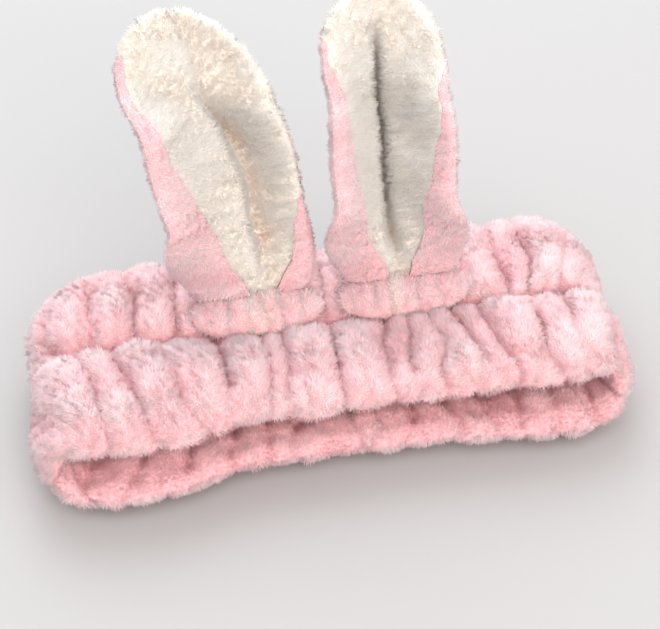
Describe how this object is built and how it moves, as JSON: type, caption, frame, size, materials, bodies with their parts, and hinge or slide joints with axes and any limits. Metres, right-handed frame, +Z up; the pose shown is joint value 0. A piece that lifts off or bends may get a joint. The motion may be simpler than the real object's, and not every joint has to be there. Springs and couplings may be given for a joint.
{
  "type": "spa headband",
  "caption": "Plush elastic-gathered spa headband with two padded rabbit ears, lying flattened on its back wall.",
  "frame": {"origin": "under the middle of the whole object's box, on the surface that it lies on; the ring's middle is 9.86 mm in front of it", "axes": "+X along the flattened ring to the wearer-side right end, +Y back from the front edge along the ring's own axis, +Z up from the surface"},
  "size_m": [0.23, 0.1118, 0.1432],
  "materials": {
    "pink_plush": "matte",
    "white_plush": "matte",
    "elastic": "matte",
    "wadding": "matte",
    "pink_thread": "matte"
  },
  "bodies": {
    "band": {"cover_front_center": "pink_plush", "channel_stitching_front_center": "pink_thread", "elastic_upper_front_center": "elastic", "elastic_lower_front_center": "elastic", "cover_back_center": "pink_plush", "channel_stitching_back_center": "pink_thread", "elastic_upper_back_center": "elastic", "elastic_lower_back_center": "elastic", "back_join_seam": "pink_plush", "left_ear_tab": "pink_plush", "left_ear_seam": "pink_thread", "right_ear_tab": "pink_plush", "right_ear_seam": "pink_thread"},
    "left_end": {"cover_left_end": "pink_plush", "channel_stitching_left_end": "pink_thread", "elastic_upper_left_end": "elastic", "elastic_lower_left_end": "elastic"},
    "right_end": {"cover_right_end": "pink_plush", "channel_stitching_right_end": "pink_thread", "elastic_upper_right_end": "elastic", "elastic_lower_right_end": "elastic"},
    "left_ear": {"left_ear_wadding": "wadding", "left_ear_back": "pink_plush", "left_ear_lining": "white_plush"},
    "right_ear": {"right_ear_wadding": "wadding", "right_ear_back": "pink_plush", "right_ear_lining": "white_plush"}
  },
  "joints": [
    {"name": "left_end_stretch", "type": "slide", "parent": "band", "child": "left_end", "axis": [-1, 0, 0], "range_m": [0, 0.03], "stiffness_N_per_m": 60},
    {"name": "right_end_stretch", "type": "slide", "parent": "band", "child": "right_end", "axis": [1, 0, 0], "range_m": [0, 0.03], "stiffness_N_per_m": 60},
    {"name": "left_ear_fold", "type": "hinge", "parent": "band", "child": "left_ear", "pos_m": [-0.026, 0.00414, 0.0409], "axis": [1, 0, 0], "range_deg": [-40, 45], "stiffness_Nm_per_rad": 0.2},
    {"name": "right_ear_fold", "type": "hinge", "parent": "band", "child": "right_ear", "pos_m": [0.03, 0.00414, 0.0409], "axis": [1, 0, 0], "range_deg": [-40, 45], "stiffness_Nm_per_rad": 0.2}
  ],
  "couplings": [
    {"joint": "right_end_stretch", "follows": "left_end_stretch", "ratio": 1}
  ]
}
